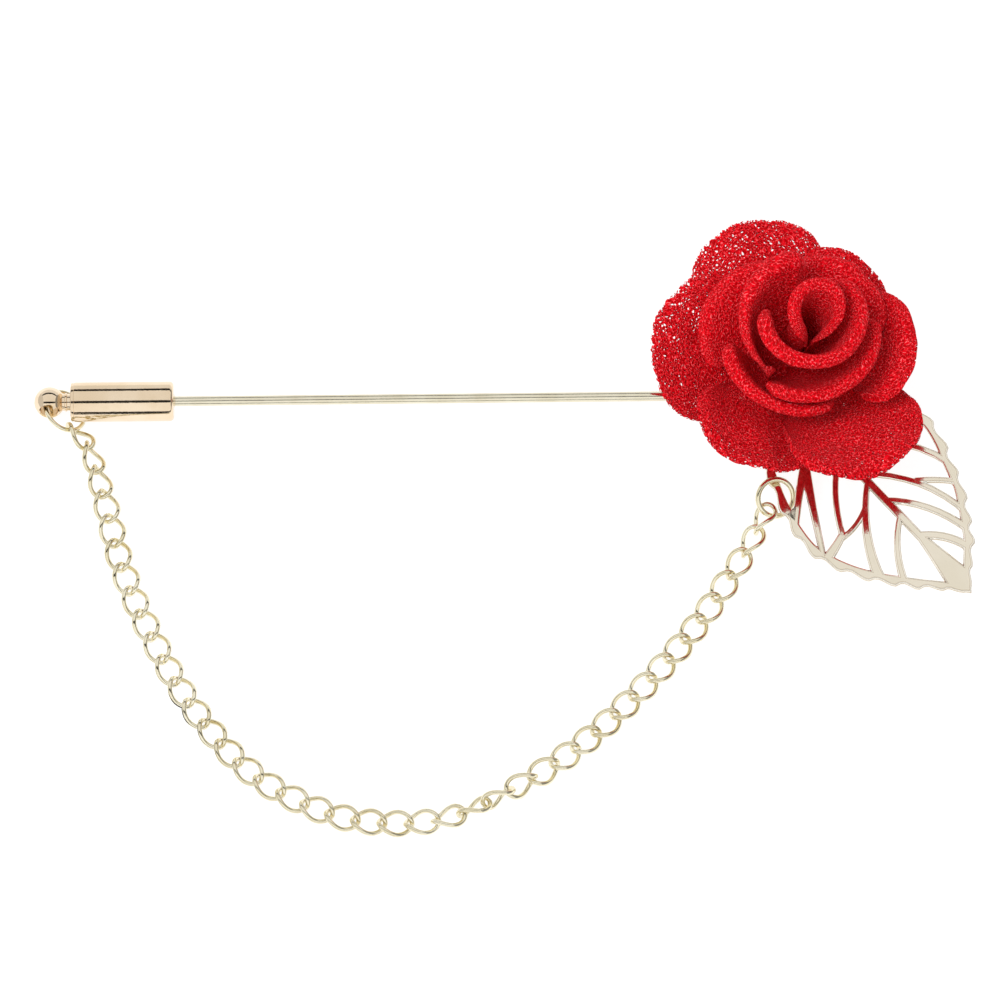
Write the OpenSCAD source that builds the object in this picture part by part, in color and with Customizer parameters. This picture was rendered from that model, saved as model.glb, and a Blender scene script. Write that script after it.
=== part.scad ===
// Flower lapel pin, lying face up on a table: a rose of crepe petals and a pierced metal leaf on a stick pin,
// a ball-ended clutch on the pin's point, and a curb chain from the clutch round to the leaf.
// Millimetres. The pin's shaft runs along X. The origin is under the middle of the whole object, on the table.

/* [Stick pin] */
// Diameter of the shaft
shaft_d = 1.0; // [0.8:0.1:1.2]
// Length of shaft in sight, from the middle of the rose's back plate to the clutch
shaft_free = 60.9; // [50:0.1:70]
// Length of shaft inside the clutch, its point included
shaft_in = 7.0; // [5:0.5:8]
// Height of the shaft's middle line above the table
shaft_z = 2.7; // [2.7:0.05:3.2]
// Diameter of the back plate
plate_d = 12; // [10:0.5:13]
// Sheet thickness of the back plate
plate_wall = 0.6; // [0.4:0.1:0.8]

/* [Clutch] */
// Diameter of the barrel
barrel_d = 4.0; // [3.4:0.1:4.4]
// Length of the barrel
barrel_l = 10.3; // [9.5:0.1:12]
// Length of the neck between barrel and ball
neck_l = 1.0; // [0.9:0.05:1.2]
// Diameter of the neck
neck_d = 1.7; // [1.2:0.1:1.8]
// Diameter of the ball
ball_d = 3.1; // [2.8:0.1:3.2]
// Diameter of the cross hole through the ball
hole_d = 1.8; // [1.6:0.1:2.0]
// Turn of the cross hole's near mouth upwards
hole_roll = 20; // [15:1:25]
// Diameter of the clutch ring, across the middle of its wire
clutch_ring_d = 4.4; // [4.3:0.05:4.6]
// Wire of the clutch ring
clutch_ring_wire = 0.45; // [0.35:0.05:0.5]

/* [Chain] */
// Length of one link over its ends
link_l = 3.8; // [3.6:0.1:4.2]
// Width of one link over its sides
link_w = 2.8; // [2.6:0.1:3.0]
// Wire of a link
link_wire = 0.48; // [0.36:0.02:0.5]
// Twist of each half of a link, which lets the chain lie flat
link_twist = 46; // [42:1:50]

/* [Leaf] */
// Length of the leaf from its base to its tip
leaf_l = 25.2; // [22:0.2:28]
// Width that the leaf's two sides are shares of
leaf_w = 17; // [15:0.5:19]
// Sheet thickness of the leaf
leaf_wall = 0.45; // [0.35:0.05:0.6]
// Width of the border inside the teeth
border_w = 0.7; // [0.5:0.05:0.9]
// Width of a plain side vein
vein_w = 0.75; // [0.6:0.05:0.9]
// Height of a tooth over the leaf's smooth edge
tooth_h = 0.45; // [0.2:0.05:0.6]
// Teeth along each side
teeth = 11; // [8:1:14]
// Diameter of the leaf ring, across the middle of its wire
leaf_ring_d = 3.7; // [3.6:0.1:4]
// Wire of the leaf ring
leaf_ring_wire = 0.55; // [0.4:0.05:0.55]

/* [Rose] */
// Reach of the longest level petal from the rose's middle
rose_r = 15.6; // [14:0.1:17]
// Height of the bud's rim over the petal roots
rose_h = 13.5; // [12.5:0.1:15]
// Thickness of a petal
petal_wall = 1.0; // [1:0.05:1.1]
// Lean of the rose along X for each millimetre of height
lean_x = 0.22; // [0.1:0.01:0.3]
// Lean of the rose along Y for each millimetre of height
lean_y = 0.10; // [0:0.01:0.2]

/* [Hidden] */
$fn = 48;

gold = [0.86, 0.74, 0.50];
rose_gold = [0.84, 0.70, 0.58];
red = [0.76, 0.02, 0.08];

// Clearances
bore_gap = 0.1;
seat_gap = 0.1;
petal_gap = 0.2;
link_slack = 0.18;
// Depth to which the shaft is soldered into the back plate
solder = 0.15;
// Length of shaft beyond the middle of the back plate
shaft_over = 3.7;
plate_top = shaft_z - shaft_d / 2 + solder;
plate_bend = 0.8;

// Stick pin and back plate, in a frame with the plate's middle at X 0, Y 0

module along_x() {
    translate([0, 0, shaft_z])
        rotate([0, 90, 0])
            children();
}

module stick_pin() {
    point_l = shaft_in / 2;
    color(gold) {
        translate([-shaft_free - shaft_in + point_l, 0, 0])
            along_x()
                cylinder(h = shaft_free + shaft_in - point_l + shaft_over, d = shaft_d);
        translate([-shaft_free - shaft_in, 0, 0])
            along_x()
                cylinder(h = point_l, d1 = shaft_d / 4, d2 = shaft_d);
        rotate_extrude()
            polygon([
                [0, plate_top],
                [plate_d / 2 - plate_bend, plate_top],
                [plate_d / 2, plate_top - plate_bend],
                [plate_d / 2, 0],
                [plate_d / 2 - plate_wall, 0],
                [plate_d / 2 - plate_wall, plate_top - plate_bend - plate_wall / 2],
                [plate_d / 2 - plate_bend - plate_wall / 2, plate_top - plate_wall],
                [0, plate_top - plate_wall],
            ]);
    }
}

// Clutch: barrel, neck and ball turned in one, with a blind bore for the shaft

mouth_x = -shaft_free;
barrel_end_x = mouth_x - barrel_l;
neck_end_x = barrel_end_x - neck_l;
// The neck runs this far into the ball
ball_sink = 0.4;
ball_x = neck_end_x - ball_d / 2 + ball_sink;
barrel_edge = 0.45;
groove_w = 0.35;
groove_depth = 0.15;

module clutch_barrel() {
    r = barrel_d / 2;
    lip = groove_depth;
    color(rose_gold)
        difference() {
            union() {
                translate([barrel_end_x, 0, 0])
                    along_x()
                        rotate_extrude()
                            polygon([
                                [0, 0],
                                [r - lip, 0],
                                [r, lip],
                                [r, barrel_l - barrel_edge - groove_w],
                                [r - groove_depth, barrel_l - barrel_edge - groove_w],
                                [r - groove_depth, barrel_l - barrel_edge],
                                [r - barrel_edge / 4, barrel_l - barrel_edge / 2],
                                [r - barrel_edge, barrel_l],
                                [0, barrel_l],
                            ]);
                translate([ball_x, 0, 0])
                    along_x()
                        cylinder(h = barrel_end_x - ball_x + lip, d = neck_d);
                translate([ball_x, 0, shaft_z])
                    sphere(d = ball_d);
            }
            translate([mouth_x - shaft_in - petal_gap, 0, 0])
                along_x()
                    cylinder(h = shaft_in + petal_gap + lip, d = shaft_d + 2 * bore_gap);
            translate([ball_x, 0, shaft_z])
                rotate([90 - hole_roll, 0, 0])
                    cylinder(h = 2 * ball_d, d = hole_d, center = true);
        }
}

module wire_ring(ring_d, wire_d) {
    rotate_extrude()
        translate([ring_d / 2, 0])
            circle(d = wire_d, $fn = 32);
}

// The clutch ring leans through the cross hole: its middle in shares of its radius from the ball's middle
clutch_ring_step = [0.66, -0.23, -0.50];
clutch_ring_tilt = 35;
clutch_ring_turn = 20;
clutch_ring_at = [ball_x, 0, shaft_z] + clutch_ring_d / 2 * clutch_ring_step;

module clutch_ring() {
    color(gold)
        translate(clutch_ring_at)
            rotate([0, clutch_ring_tilt, clutch_ring_turn])
                wire_ring(clutch_ring_d, clutch_ring_wire);
}

// Leaf, in its own frame: base at the origin, tip along X, sheet from Z 0 upwards

leaf_turn = -50.5;
leaf_rise = 5;
leaf_base = [2.1, -2.35];
// The leaf's underside seats on the back plate at this X
leaf_seat_x = -1.0;
leaf_base_z = plate_top + seat_gap + tan(leaf_rise) * (leaf_base[0] - leaf_seat_x);

// Sides of the leaf: share of the length, right side and left side as shares of the width
leaf_sides = [
    [0.00, 0.000, 0.000],
    [0.05, 0.280, 0.330],
    [0.16, 0.460, 0.430],
    [0.26, 0.510, 0.480],
    [0.35, 0.520, 0.510],
    [0.45, 0.490, 0.520],
    [0.54, 0.440, 0.485],
    [0.63, 0.395, 0.425],
    [0.71, 0.330, 0.350],
    [0.78, 0.265, 0.270],
    [0.84, 0.205, 0.195],
    [0.90, 0.120, 0.115],
    [0.95, 0.055, 0.055],
    [1.00, 0.000, 0.000],
];
// Veins: start, bend and end as shares of the length and the width, and widths at both ends as shares of a vein
leaf_veins = [
    // from          bend            to              widths
    [ 0.00,  0.00,   0.40,  0.01,   0.80,  0.01,   1.2, 1.2],
    [ 0.68,  0.01,   0.85,  0.01,   1.00,  0.00,   1.0, 4.6],
    [ 0.08, -0.02,   0.17, -0.26,   0.36, -0.53,   1.6, 0.8],
    [ 0.14, -0.18,   0.31, -0.34,   0.52, -0.51,   1.4, 0.8],
    [ 0.22,  0.00,   0.30, -0.19,   0.49, -0.33,   0.9, 0.9],
    [ 0.475, -0.31,  0.50, -0.38,   0.52, -0.51,   1.0, 1.5],
    [ 0.49, -0.35,   0.50, -0.22,   0.45, -0.10,   0.8, 0.8],
    [ 0.375, 0.01,   0.53, -0.25,   0.72, -0.34,   0.8, 1.6],
    [ 0.57,  0.01,   0.66, -0.17,   0.80, -0.25,   0.8, 1.1],
    [ 0.69,  0.02,   0.76,  0.16,   0.87,  0.18,   1.2, 1.2],
    [ 0.48,  0.00,   0.60,  0.20,   0.80,  0.25,   0.9, 1.1],
    [ 0.33,  0.00,   0.50,  0.29,   0.75,  0.31,   0.9, 0.9],
    [ 0.50,  0.215,  0.56,  0.34,   0.63,  0.41,   0.9, 0.8],
    [ 0.20,  0.00,   0.30,  0.41,   0.62,  0.46,   0.9, 1.0],
    [ 0.14,  0.03,   0.27,  0.36,   0.37,  0.54,   0.8, 0.8],
];
edge_steps = 4;
vein_steps = 8;

function smooth(x) = let (c = max(0, min(1, x))) c * c * (3 - 2 * c);
function unit(v) = v / norm(v);
function mix(a, b, t) = a + (b - a) * t;
// Curve through four values, from the second at t 0 to the third at t 1
function through(a, b, c, d, t) =
    b + 0.5 * t * (c - a + t * (2 * a - 5 * b + 4 * c - d + t * (3 * (b - c) + d - a)));
// Value in a list at a fractional index
function at(list, x) =
    let (last = len(list) - 1, i = max(0, min(last - 1, floor(x))))
    through(list[max(0, i - 1)], list[i], list[i + 1], list[min(last, i + 2)], x - i);

// A point of the smooth edge, for x along the table's rows; side is 1 for the right and 2 for the left
function edge(x, side) =
    let (row = at(leaf_sides, x), sign = side == 1 ? 1 : -1)
    [leaf_l * row[0], leaf_w * row[side] * sign];
// The same edge moved outwards by a distance
function edge_out(x, side, out) =
    let (a = edge(x - 0.05, side), b = edge(x + 0.05, side), t = unit(b - a), sign = side == 1 ? 1 : -1)
    edge(x, side) + out * sign * [-t[1], t[0]];
// A tooth leans to the tip: a slow rise and a short step back. The last teeth are lower.
function tooth(x) =
    let (f = x - floor(x))
    tooth_h * min(1, 0.35 * (teeth + 0.5 - x)) * (f < 0.7 ? smooth(f / 0.7) : smooth((1 - f) / 0.3));

rows = len(leaf_sides) - 1;
tooth_steps = 6;
leaf_outline = let (n = teeth * tooth_steps) concat(
    [for (i = [1 : n - 2]) edge_out(rows * i / n, 1, tooth(i / tooth_steps + 0.25))],
    [[leaf_l, 0]],
    [for (i = [n - 2 : -1 : 1]) edge_out(rows * i / n, 2, tooth(i / tooth_steps + 0.25))],
    [[0, 0]]);
leaf_inside = let (n = rows * edge_steps, stop = edge_steps * 1.6) concat(
    [for (i = [edge_steps / 2 : n - stop]) edge_out(i / edge_steps, 1, -border_w)],
    [for (i = [n - stop : -1 : edge_steps / 2]) edge_out(i / edge_steps, 2, -border_w)]);

function vein_middle(v, t) =
    let (a = [v[0] * leaf_l, v[1] * leaf_w], b = [v[2] * leaf_l, v[3] * leaf_w], c = [v[4] * leaf_l, v[5] * leaf_w])
    mix(mix(a, b, t), mix(b, c, t), t);
function vein_side(v, t, sign) =
    let (d = unit(vein_middle(v, t + 0.01) - vein_middle(v, t - 0.01)))
    vein_middle(v, t) + sign * vein_w / 2 * mix(v[6], v[7], t) * [-d[1], d[0]];

module vein(v) {
    polygon(concat(
        [for (i = [0 : vein_steps]) vein_side(v, i / vein_steps, 1)],
        [for (i = [vein_steps : -1 : 0]) vein_side(v, i / vein_steps, -1)]));
}

module in_leaf_frame() {
    translate([leaf_base[0], leaf_base[1], leaf_base_z])
        rotate([0, -leaf_rise, 0])
            rotate([0, 0, leaf_turn])
                children();
}

module leaf() {
    color(gold)
        in_leaf_frame()
            linear_extrude(height = leaf_wall)
                difference() {
                    polygon(leaf_outline);
                    difference() {
                        polygon(leaf_inside);
                        for (v = leaf_veins)
                            vein(v);
                    }
                }
}

// The leaf ring goes round the left border: its middle in the leaf's frame follows that border
leaf_ring_row = 2.28;
leaf_ring_tilt = 35;
leaf_ring_out = 0.2;
leaf_ring_in = edge_out(leaf_ring_row, 2, leaf_ring_out);

module leaf_ring() {
    color(gold)
        in_leaf_frame()
            translate([leaf_ring_in[0], leaf_ring_in[1], leaf_wall / 2])
                rotate([0, leaf_ring_tilt, 0])
                    wire_ring(leaf_ring_d, leaf_ring_wire);
}

// Rose petals. A petal is swept about the rose's middle: a curve in radius and height, spread over an angle.

// Middle of the rose in plan, and the height of the petal roots' middle surface
rose_xy = [0, 1.95];
tuck_most = 1.0;
rose_z = shaft_z + shaft_d / 2 + petal_wall * (tuck_most + 0.5) + seat_gap;

// Columns: name, azimuth, half angle; root radius (share of rose_r), root height (share of rose_h), root slope;
// reach (of rose_r), rise (of rose_h), rim slope; shoulder height (of the petal), side tuck (of petal_wall),
// side tilt (of rose_h), squareness of the rim, rim wave (of rose_h), waves, lift of both sides (of
// petal_wall)
petals = [
    ["petal_top",         102,  42, 0.19,  0.00,  9, 1.00, 0.11,   6, 0.42,  0.3,  0.02, 2.3, 0.03, 2.5, -1.2],
    ["petal_left",        171,  47, 0.19, -0.01,  7, 0.89, 0.22,  16, 0.42, -1.1,  0.01, 2.3, 0.03, 2.0,  0.0],
    ["petal_upper_right",  54,  32, 0.19,  0.00, 10, 0.86, 0.15,  12, 0.42,  0.9, -0.05, 2.5, 0.02, 2.0,  0.0],
    ["petal_lower_left",  245,  40, 0.19,  0.00, 19, 0.86, 0.37,  26, 0.42, -1.0,  0.00, 2.3, 0.03, 2.5,  0.0],
    ["petal_lower_right", 303,  37, 0.19,  0.00, 22, 1.02, 0.48,  24, 0.42, -0.9, -0.06, 2.3, 0.03, 2.5,  0.0],
    ["petal_right",         5,  35, 0.18,  0.08, 39, 0.71, 0.55,  60, 0.60, -0.5, -0.01, 2.6, 0.00, 2.0,  0.0],
    ["petal_mid_left",    146,  49, 0.17,  0.13, 24, 0.65, 0.43,   5, 0.60, -0.5,  0.00, 2.6, 0.02, 2.0,  0.0],
    ["petal_fold_front",  242,  56, 0.19,  0.17, 25, 0.49, 0.52,  20, 0.80, -0.1, -0.05, 3.5, 0.00, 2.0,  0.0],
    ["petal_mid_right",    47,  44, 0.14,  0.18, 42, 0.62, 0.53,  40, 0.65,  0.3, -0.02, 2.6, 0.02, 2.0,  0.0],
    ["petal_fold_right",  -57,  67, 0.12,  0.23, 30, 0.45, 0.64, -20, 0.82,  0.0,  0.02, 3.5, 0.00, 2.0,  0.0],
    ["petal_wrap_outer",  163,  70, 0.12,  0.21, 38, 0.42, 0.78, -20, 0.80,  0.0, -0.02, 3.0, 0.00, 2.0,  0.0],
    ["petal_wrap_inner",  -66, 126, 0.08,  0.31, 34, 0.31, 0.85, -20, 0.85, -0.1,  0.01, 3.0, 0.00, 2.0,  0.0],
    ["bud",                90, 172, 0.05,  0.41, 80, 0.13, 1.00,  95, 0.55,  0.0,  0.00, 2.0, 0.00, 2.0,  0.0],
];
across = 16;
along = 6;
// Width of a petal at its root as a share of its full width, unless it wraps right round
root_width = 0.62;
wrap_half = 100;
// Reach of the two handles of a petal's curve, as a share of its chord
handle = 0.38;

function cubic(a, b, c, d, t) =
    pow(1 - t, 3) * a + 3 * pow(1 - t, 2) * t * b + 3 * (1 - t) * t * t * c + pow(t, 3) * d;
function cubic_way(a, b, c, d, t) =
    unit(pow(1 - t, 2) * (b - a) + 2 * (1 - t) * t * (c - b) + t * t * (d - c));

// A point of a petal: s from -1 to 1 across, t from 0 at the root to 1 at the rim, face 1 above and -1 below
function petal_point(row, s, t, face) =
    let (
        shoulder = row[9],
        e = t * (shoulder + (1 - shoulder) * pow(max(0, 1 - pow(abs(s), row[12])), 1 / row[12])),
        a = [row[3] * rose_r, row[4] * rose_h],
        d = [row[6] * rose_r, row[7] * rose_h],
        reach = handle * norm(d - a),
        b = a + reach * [cos(row[5]), sin(row[5])],
        c = d - reach * [cos(row[8]), sin(row[8])],
        q = cubic(a, b, c, d, e),
        way = cubic_way(a, b, c, d, e),
        out = petal_wall * ((row[10] * s + row[15] * s * s) * smooth(e / 0.1) + face / 2),
        wave = row[13] * rose_h * e * e * (1 - s * s) * sin(180 * row[14] * s),
        radius = q[0] - way[1] * out,
        height = q[1] + way[0] * out + row[11] * rose_h * s * e + wave,
        spread = row[2] < wrap_half ? mix(root_width, 1, smooth((e - 0.06) / 0.22)) : 1,
        angle = row[1] + s * row[2] * spread
    )
    [rose_xy[0] + radius * cos(angle) + lean_x * height,
     rose_xy[1] + radius * sin(angle) + lean_y * height,
     rose_z + height];

// Faces between two sheets of (n + 1) x (m + 1) points, closed round their border
function sheet_faces(n, m) =
    let (
        w = m + 1,
        sheet = (n + 1) * w,
        border = concat(
            [for (i = [0 : n - 1]) i * w],
            [for (j = [0 : m - 1]) n * w + j],
            [for (i = [n : -1 : 1]) i * w + m],
            [for (j = [m : -1 : 1]) j])
    )
    concat(
        [for (i = [0 : n - 1], j = [0 : m - 1]) [i * w + j, (i + 1) * w + j + 1, i * w + j + 1]],
        [for (i = [0 : n - 1], j = [0 : m - 1]) [i * w + j, (i + 1) * w + j, (i + 1) * w + j + 1]],
        [for (i = [0 : n - 1], j = [0 : m - 1])
            [sheet + i * w + j, sheet + i * w + j + 1, sheet + (i + 1) * w + j + 1]],
        [for (i = [0 : n - 1], j = [0 : m - 1])
            [sheet + i * w + j, sheet + (i + 1) * w + j + 1, sheet + (i + 1) * w + j]],
        [for (k = [0 : len(border) - 1])
            let (p = border[k], q = border[(k + 1) % len(border)]) [p, sheet + q, q]],
        [for (k = [0 : len(border) - 1])
            let (p = border[k], q = border[(k + 1) % len(border)]) [p, sheet + p, sheet + q]]);

module petal(name) {
    row = petals[search([name], petals)[0]];
    color(red)
        polyhedron(
            points = concat(
                [for (i = [0 : across], j = [0 : along]) petal_point(row, 2 * i / across - 1, j / along, 1)],
                [for (i = [0 : across], j = [0 : along]) petal_point(row, 2 * i / across - 1, j / along, -1)]),
            faces = sheet_faces(across, along));
}

// Chain. Its route runs from the clutch ring round to the leaf ring; the points between are chosen.

function turned(v, tilt, turn) =
    let (x = v[0] * cos(tilt) + v[2] * sin(tilt), z = v[2] * cos(tilt) - v[0] * sin(tilt))
    [x * cos(turn) - v[1] * sin(turn), x * sin(turn) + v[1] * cos(turn), z];
function from_leaf(v) =
    turned([v[0] * cos(leaf_turn) - v[1] * sin(leaf_turn), v[0] * sin(leaf_turn) + v[1] * cos(leaf_turn), v[2]],
           -leaf_rise, 0) + [leaf_base[0], leaf_base[1], leaf_base_z];

// How a ring holds its end of the chain. Columns: direction round the ring from its own X axis, roll of the held
// link, links that share the roll, slack, rise over the ring's wire, length over which the chain is lifted
clutch_end = [-92, -54, 5.0, 0.12, -0.18, 7];
leaf_end = [-70, -48.5, 3.3, 0.41, -0.05, 14];
clutch_hook = clutch_ring_at + clutch_ring_d / 2
    * turned([cos(clutch_end[0]), sin(clutch_end[0]), 0], clutch_ring_tilt, clutch_ring_turn);
leaf_hook = from_leaf([leaf_ring_in[0], leaf_ring_in[1], leaf_wall / 2]
    + leaf_ring_d / 2 * turned([cos(leaf_end[0]), sin(leaf_end[0]), 0], leaf_ring_tilt, 0));

chain_route = [
    [-69.6,  -4.2], [-68.0,  -9.2], [-65.9, -17.2], [-62.8, -24.6], [-58.9, -31.6],
    [-53.8, -37.8], [-48.4, -41.4], [-42.2, -43.5], [-34.2, -43.4], [-27.0, -40.3],
    [-20.4, -35.7], [-14.5, -30.1], [ -9.2, -23.9], [ -4.5, -17.1],
];
// The route's table is written for a clutch ring at this X. With another shaft the points near the ring move
// with it, and those nearer the leaf less and less.
route_ring_x = -71.898;
route_still_x = -9;
route_moving_x = -62;
function route_moved(p) =
    [p[0] + (clutch_ring_at[0] - route_ring_x) * smooth((p[0] - route_still_x) / (route_moving_x - route_still_x)),
     p[1]];
route = concat([[clutch_hook[0], clutch_hook[1]]], [for (p = chain_route) route_moved(p)],
               [[leaf_hook[0], leaf_hook[1]]]);
route_steps = 12;
route_fine = [for (i = [0 : (len(route) - 1) * route_steps]) at(route, i / route_steps)];
// Distance along the route to each fine point
function run(list, i = 1, so_far = [0]) =
    i == len(list) ? so_far
    : run(list, i + 1, concat(so_far, [so_far[i - 1] + norm(list[i] - list[i - 1])]));
route_run = run(route_fine);
route_l = route_run[len(route_run) - 1];
function before(x, lo, hi) =
    hi - lo < 2 ? lo : let (mid = floor((lo + hi) / 2)) route_run[mid] <= x ? before(x, mid, hi) : before(x, lo, mid);
function route_at(x) =
    let (i = before(x, 0, len(route_run) - 1), f = (x - route_run[i]) / (route_run[i + 1] - route_run[i]))
    mix(route_fine[i], route_fine[i + 1], f);

// Distance from a ring's wire to the middle of the link that it holds
function hold(wire, slack) = link_l / 2 - link_wire - wire / 2 - link_slack / 2 - slack;
first_x = hold(clutch_ring_wire, clutch_end[3]);
last_x = route_l - hold(leaf_ring_wire, leaf_end[3]);
links = 1 + ceil((last_x - first_x) / (link_l - 2 * link_wire - link_slack));
pitch = (last_x - first_x) / (links - 1);
// Somewhere along its run the chain turns over: where, as a share of its length, and over how many links
flip_at = 0.62;
flip_links = 8;
link_sides = 13;
wire_sides = 6;

function link_roll(k) = -180 * smooth((k + 0.5 - flip_at * links) / flip_links + 0.5)
    + clutch_end[1] * (1 - smooth(k / clutch_end[2]))
    + leaf_end[1] * (1 - smooth((links - 1 - k) / leaf_end[2]));

// A point of a link's wire in the link's own frame: t round the link, w round the wire
function link_middle(t) =
    let (
        a = (link_l - link_wire) / 2,
        b = (link_w - link_wire) / 2,
        twist = link_twist * cos(t)
    )
    [a * cos(t), b * sin(t) * cos(twist), b * sin(t) * sin(twist)];
function link_skin(t, w) =
    let (
        way = unit(link_middle(t + 1) - link_middle(t - 1)),
        twist = link_twist * cos(t),
        over = [0, -sin(twist), cos(twist)],
        side = unit(cross(way, over)),
        up = cross(side, way)
    )
    link_middle(t) + link_wire / 2 * (cos(w) * side + sin(w) * up);
link_points = [for (i = [0 : link_sides - 1], j = [0 : wire_sides - 1])
    link_skin(360 * i / link_sides, 360 * j / wire_sides)];
link_faces = [for (i = [0 : link_sides - 1], j = [0 : wire_sides - 1])
    let (
        n = (i + 1) % link_sides,
        m = (j + 1) % wire_sides,
        a = i * wire_sides + j,
        b = n * wire_sides + j,
        c = n * wire_sides + m,
        d = i * wire_sides + m
    )
    each [[a, c, b], [a, d, c]]];

// Ends of the chain are lifted to the rings that hold them
under_gap = 0.075;
function half_height(roll) = max([for (p = link_points) abs(p[1] * sin(roll) + p[2] * cos(roll))]);
function link_height(k) =
    let (x = first_x + k * pitch, flat = half_height(0))
    under_gap + max(half_height(link_roll(k)), flat
        + (clutch_hook[2] + clutch_end[4] - flat) * (1 - smooth(x / clutch_end[5]))
        + (leaf_hook[2] + leaf_end[4] - flat) * (1 - smooth((route_l - x) / leaf_end[5])));

module chain() {
    color(gold)
        for (k = [0 : links - 1]) {
            x = first_x + k * pitch;
            a = route_at(max(0, x - pitch / 2));
            b = route_at(min(route_l, x + pitch / 2));
            middle = route_at(x);
            climb = atan((link_height(k + 0.5) - link_height(k - 0.5)) / pitch);
            translate([middle[0], middle[1], link_height(k)])
                rotate([0, -climb, atan2(b[1] - a[1], b[0] - a[0])])
                    rotate([link_roll(k), 0, 0])
                        polyhedron(points = link_points, faces = link_faces);
        }
}

// The whole is moved so that the origin lies under the middle of its box

x_low = ball_x - ball_d / 2;
x_high = max([for (p = leaf_outline) from_leaf([p[0], p[1], 0])[0]]);
y_low = min([for (p = route_fine) p[1]]) - link_w / 2;
y_high = max([for (i = [0 : across]) petal_point(petals[0], 2 * i / across - 1, 1, -1)[1]]);

module placed() {
    translate([-(x_low + x_high) / 2, -(y_low + y_high) / 2, 0])
        children();
}

placed() stick_pin();
placed() clutch_barrel();
placed() clutch_ring();
placed() chain();
placed() leaf_ring();
placed() leaf();
placed() petal("petal_top");  // petal_top
placed() petal("petal_left");  // petal_left
placed() petal("petal_upper_right");  // petal_upper_right
placed() petal("petal_lower_left");  // petal_lower_left
placed() petal("petal_lower_right");  // petal_lower_right
placed() petal("petal_right");  // petal_right
placed() petal("petal_mid_left");  // petal_mid_left
placed() petal("petal_fold_front");  // petal_fold_front
placed() petal("petal_mid_right");  // petal_mid_right
placed() petal("petal_fold_right");  // petal_fold_right
placed() petal("petal_wrap_outer");  // petal_wrap_outer
placed() petal("petal_wrap_inner");  // petal_wrap_inner
placed() petal("bud");  // bud
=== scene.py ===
# Flower lapel pin, face up: crepe rose, pierced leaf, ball-ended clutch and curb chain.
# Lengths are millimetres in the pin's own frame, whose zero is the middle of the back plate on the table.
# placed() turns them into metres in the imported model's frame.
import math
from collections import namedtuple
import bmesh
import bpy
from mathutils import Matrix, Vector, noise


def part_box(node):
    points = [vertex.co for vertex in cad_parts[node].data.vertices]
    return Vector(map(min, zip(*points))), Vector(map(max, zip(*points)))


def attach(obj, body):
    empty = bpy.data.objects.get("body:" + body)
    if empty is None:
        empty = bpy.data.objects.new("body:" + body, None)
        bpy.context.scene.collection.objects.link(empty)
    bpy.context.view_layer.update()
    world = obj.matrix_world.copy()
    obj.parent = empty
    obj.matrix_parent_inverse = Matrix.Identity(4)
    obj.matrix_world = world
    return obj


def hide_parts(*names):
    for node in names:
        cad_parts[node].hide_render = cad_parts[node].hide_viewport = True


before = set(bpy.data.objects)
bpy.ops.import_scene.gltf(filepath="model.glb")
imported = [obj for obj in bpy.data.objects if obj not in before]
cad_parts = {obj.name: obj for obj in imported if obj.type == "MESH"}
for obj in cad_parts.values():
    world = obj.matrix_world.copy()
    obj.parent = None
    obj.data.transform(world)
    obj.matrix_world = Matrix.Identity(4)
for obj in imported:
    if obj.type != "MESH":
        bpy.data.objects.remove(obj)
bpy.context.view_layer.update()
scene = bpy.context.scene
scene.view_settings.view_transform = "Standard"

MM = 0.001
# Points nearer than this are merged
MERGE = 0.001
PLATE_D = 12.0
SHAFT_D = 1.0
pin_low, pin_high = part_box("stick_pin")
plate = Vector((pin_high[0] / MM - PLATE_D / 2, (pin_low[1] + pin_high[1]) / 2 / MM, 0))
shaft_z = pin_high[2] / MM - SHAFT_D / 2


def placed(point):
    return (Vector(point) + plate) * MM


def smooth(x):
    x = max(0.0, min(1.0, x))
    return x * x * (3 - 2 * x)


def mix(a, b, t):
    return a + (b - a) * t


def direction(degrees):
    return math.cos(math.radians(degrees)), math.sin(math.radians(degrees))


def turned(degrees, axis):
    return Matrix.Rotation(math.radians(degrees), 4, axis)


# Camera and studio

# The camera looks down at the pin from a rise of 70 degrees, turned a little to follow the photo
CAMERA_AIM = Vector((-0.17, 3.87, 0))
CAMERA_RISE = 70.0
CAMERA_TURN = 0.63
CAMERA_DISTANCE = 600.0
VIEW_WIDTH = 100.1
SENSOR = 36.0


def add_camera():
    rise_x, rise_y = direction(CAMERA_RISE)
    turn_x, turn_y = direction(CAMERA_TURN)
    back = Vector((-turn_y * rise_x, -turn_x * rise_x, rise_y))
    right = Vector((turn_x, -turn_y, 0))
    up = back.cross(right)
    data = bpy.data.cameras.new("camera")
    data.sensor_width = SENSOR
    data.lens = SENSOR * CAMERA_DISTANCE / VIEW_WIDTH
    data.clip_start = 0.01
    data.clip_end = 20
    camera = bpy.data.objects.new("camera", data)
    scene.collection.objects.link(camera)
    turn = Matrix((right, up, back)).transposed().to_4x4()
    camera.matrix_world = Matrix.Translation((CAMERA_AIM + CAMERA_DISTANCE * back) * MM) @ turn
    scene.camera = camera


def plain_material(name, colour, glow, glow_strength):
    material = bpy.data.materials.new(name)
    material.use_nodes = True
    shader = material.node_tree.nodes["Principled BSDF"]
    shader.inputs["Base Color"].default_value = (*colour, 1)
    shader.inputs["Roughness"].default_value = 0.9
    shader.inputs["Specular IOR Level"].default_value = 0.0
    shader.inputs["Emission Color"].default_value = (*glow, 1)
    shader.inputs["Emission Strength"].default_value = glow_strength
    return material


def mesh_from(name, bm):
    mesh = bpy.data.meshes.new(name)
    bm.to_mesh(mesh)
    bm.free()
    return mesh


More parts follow.
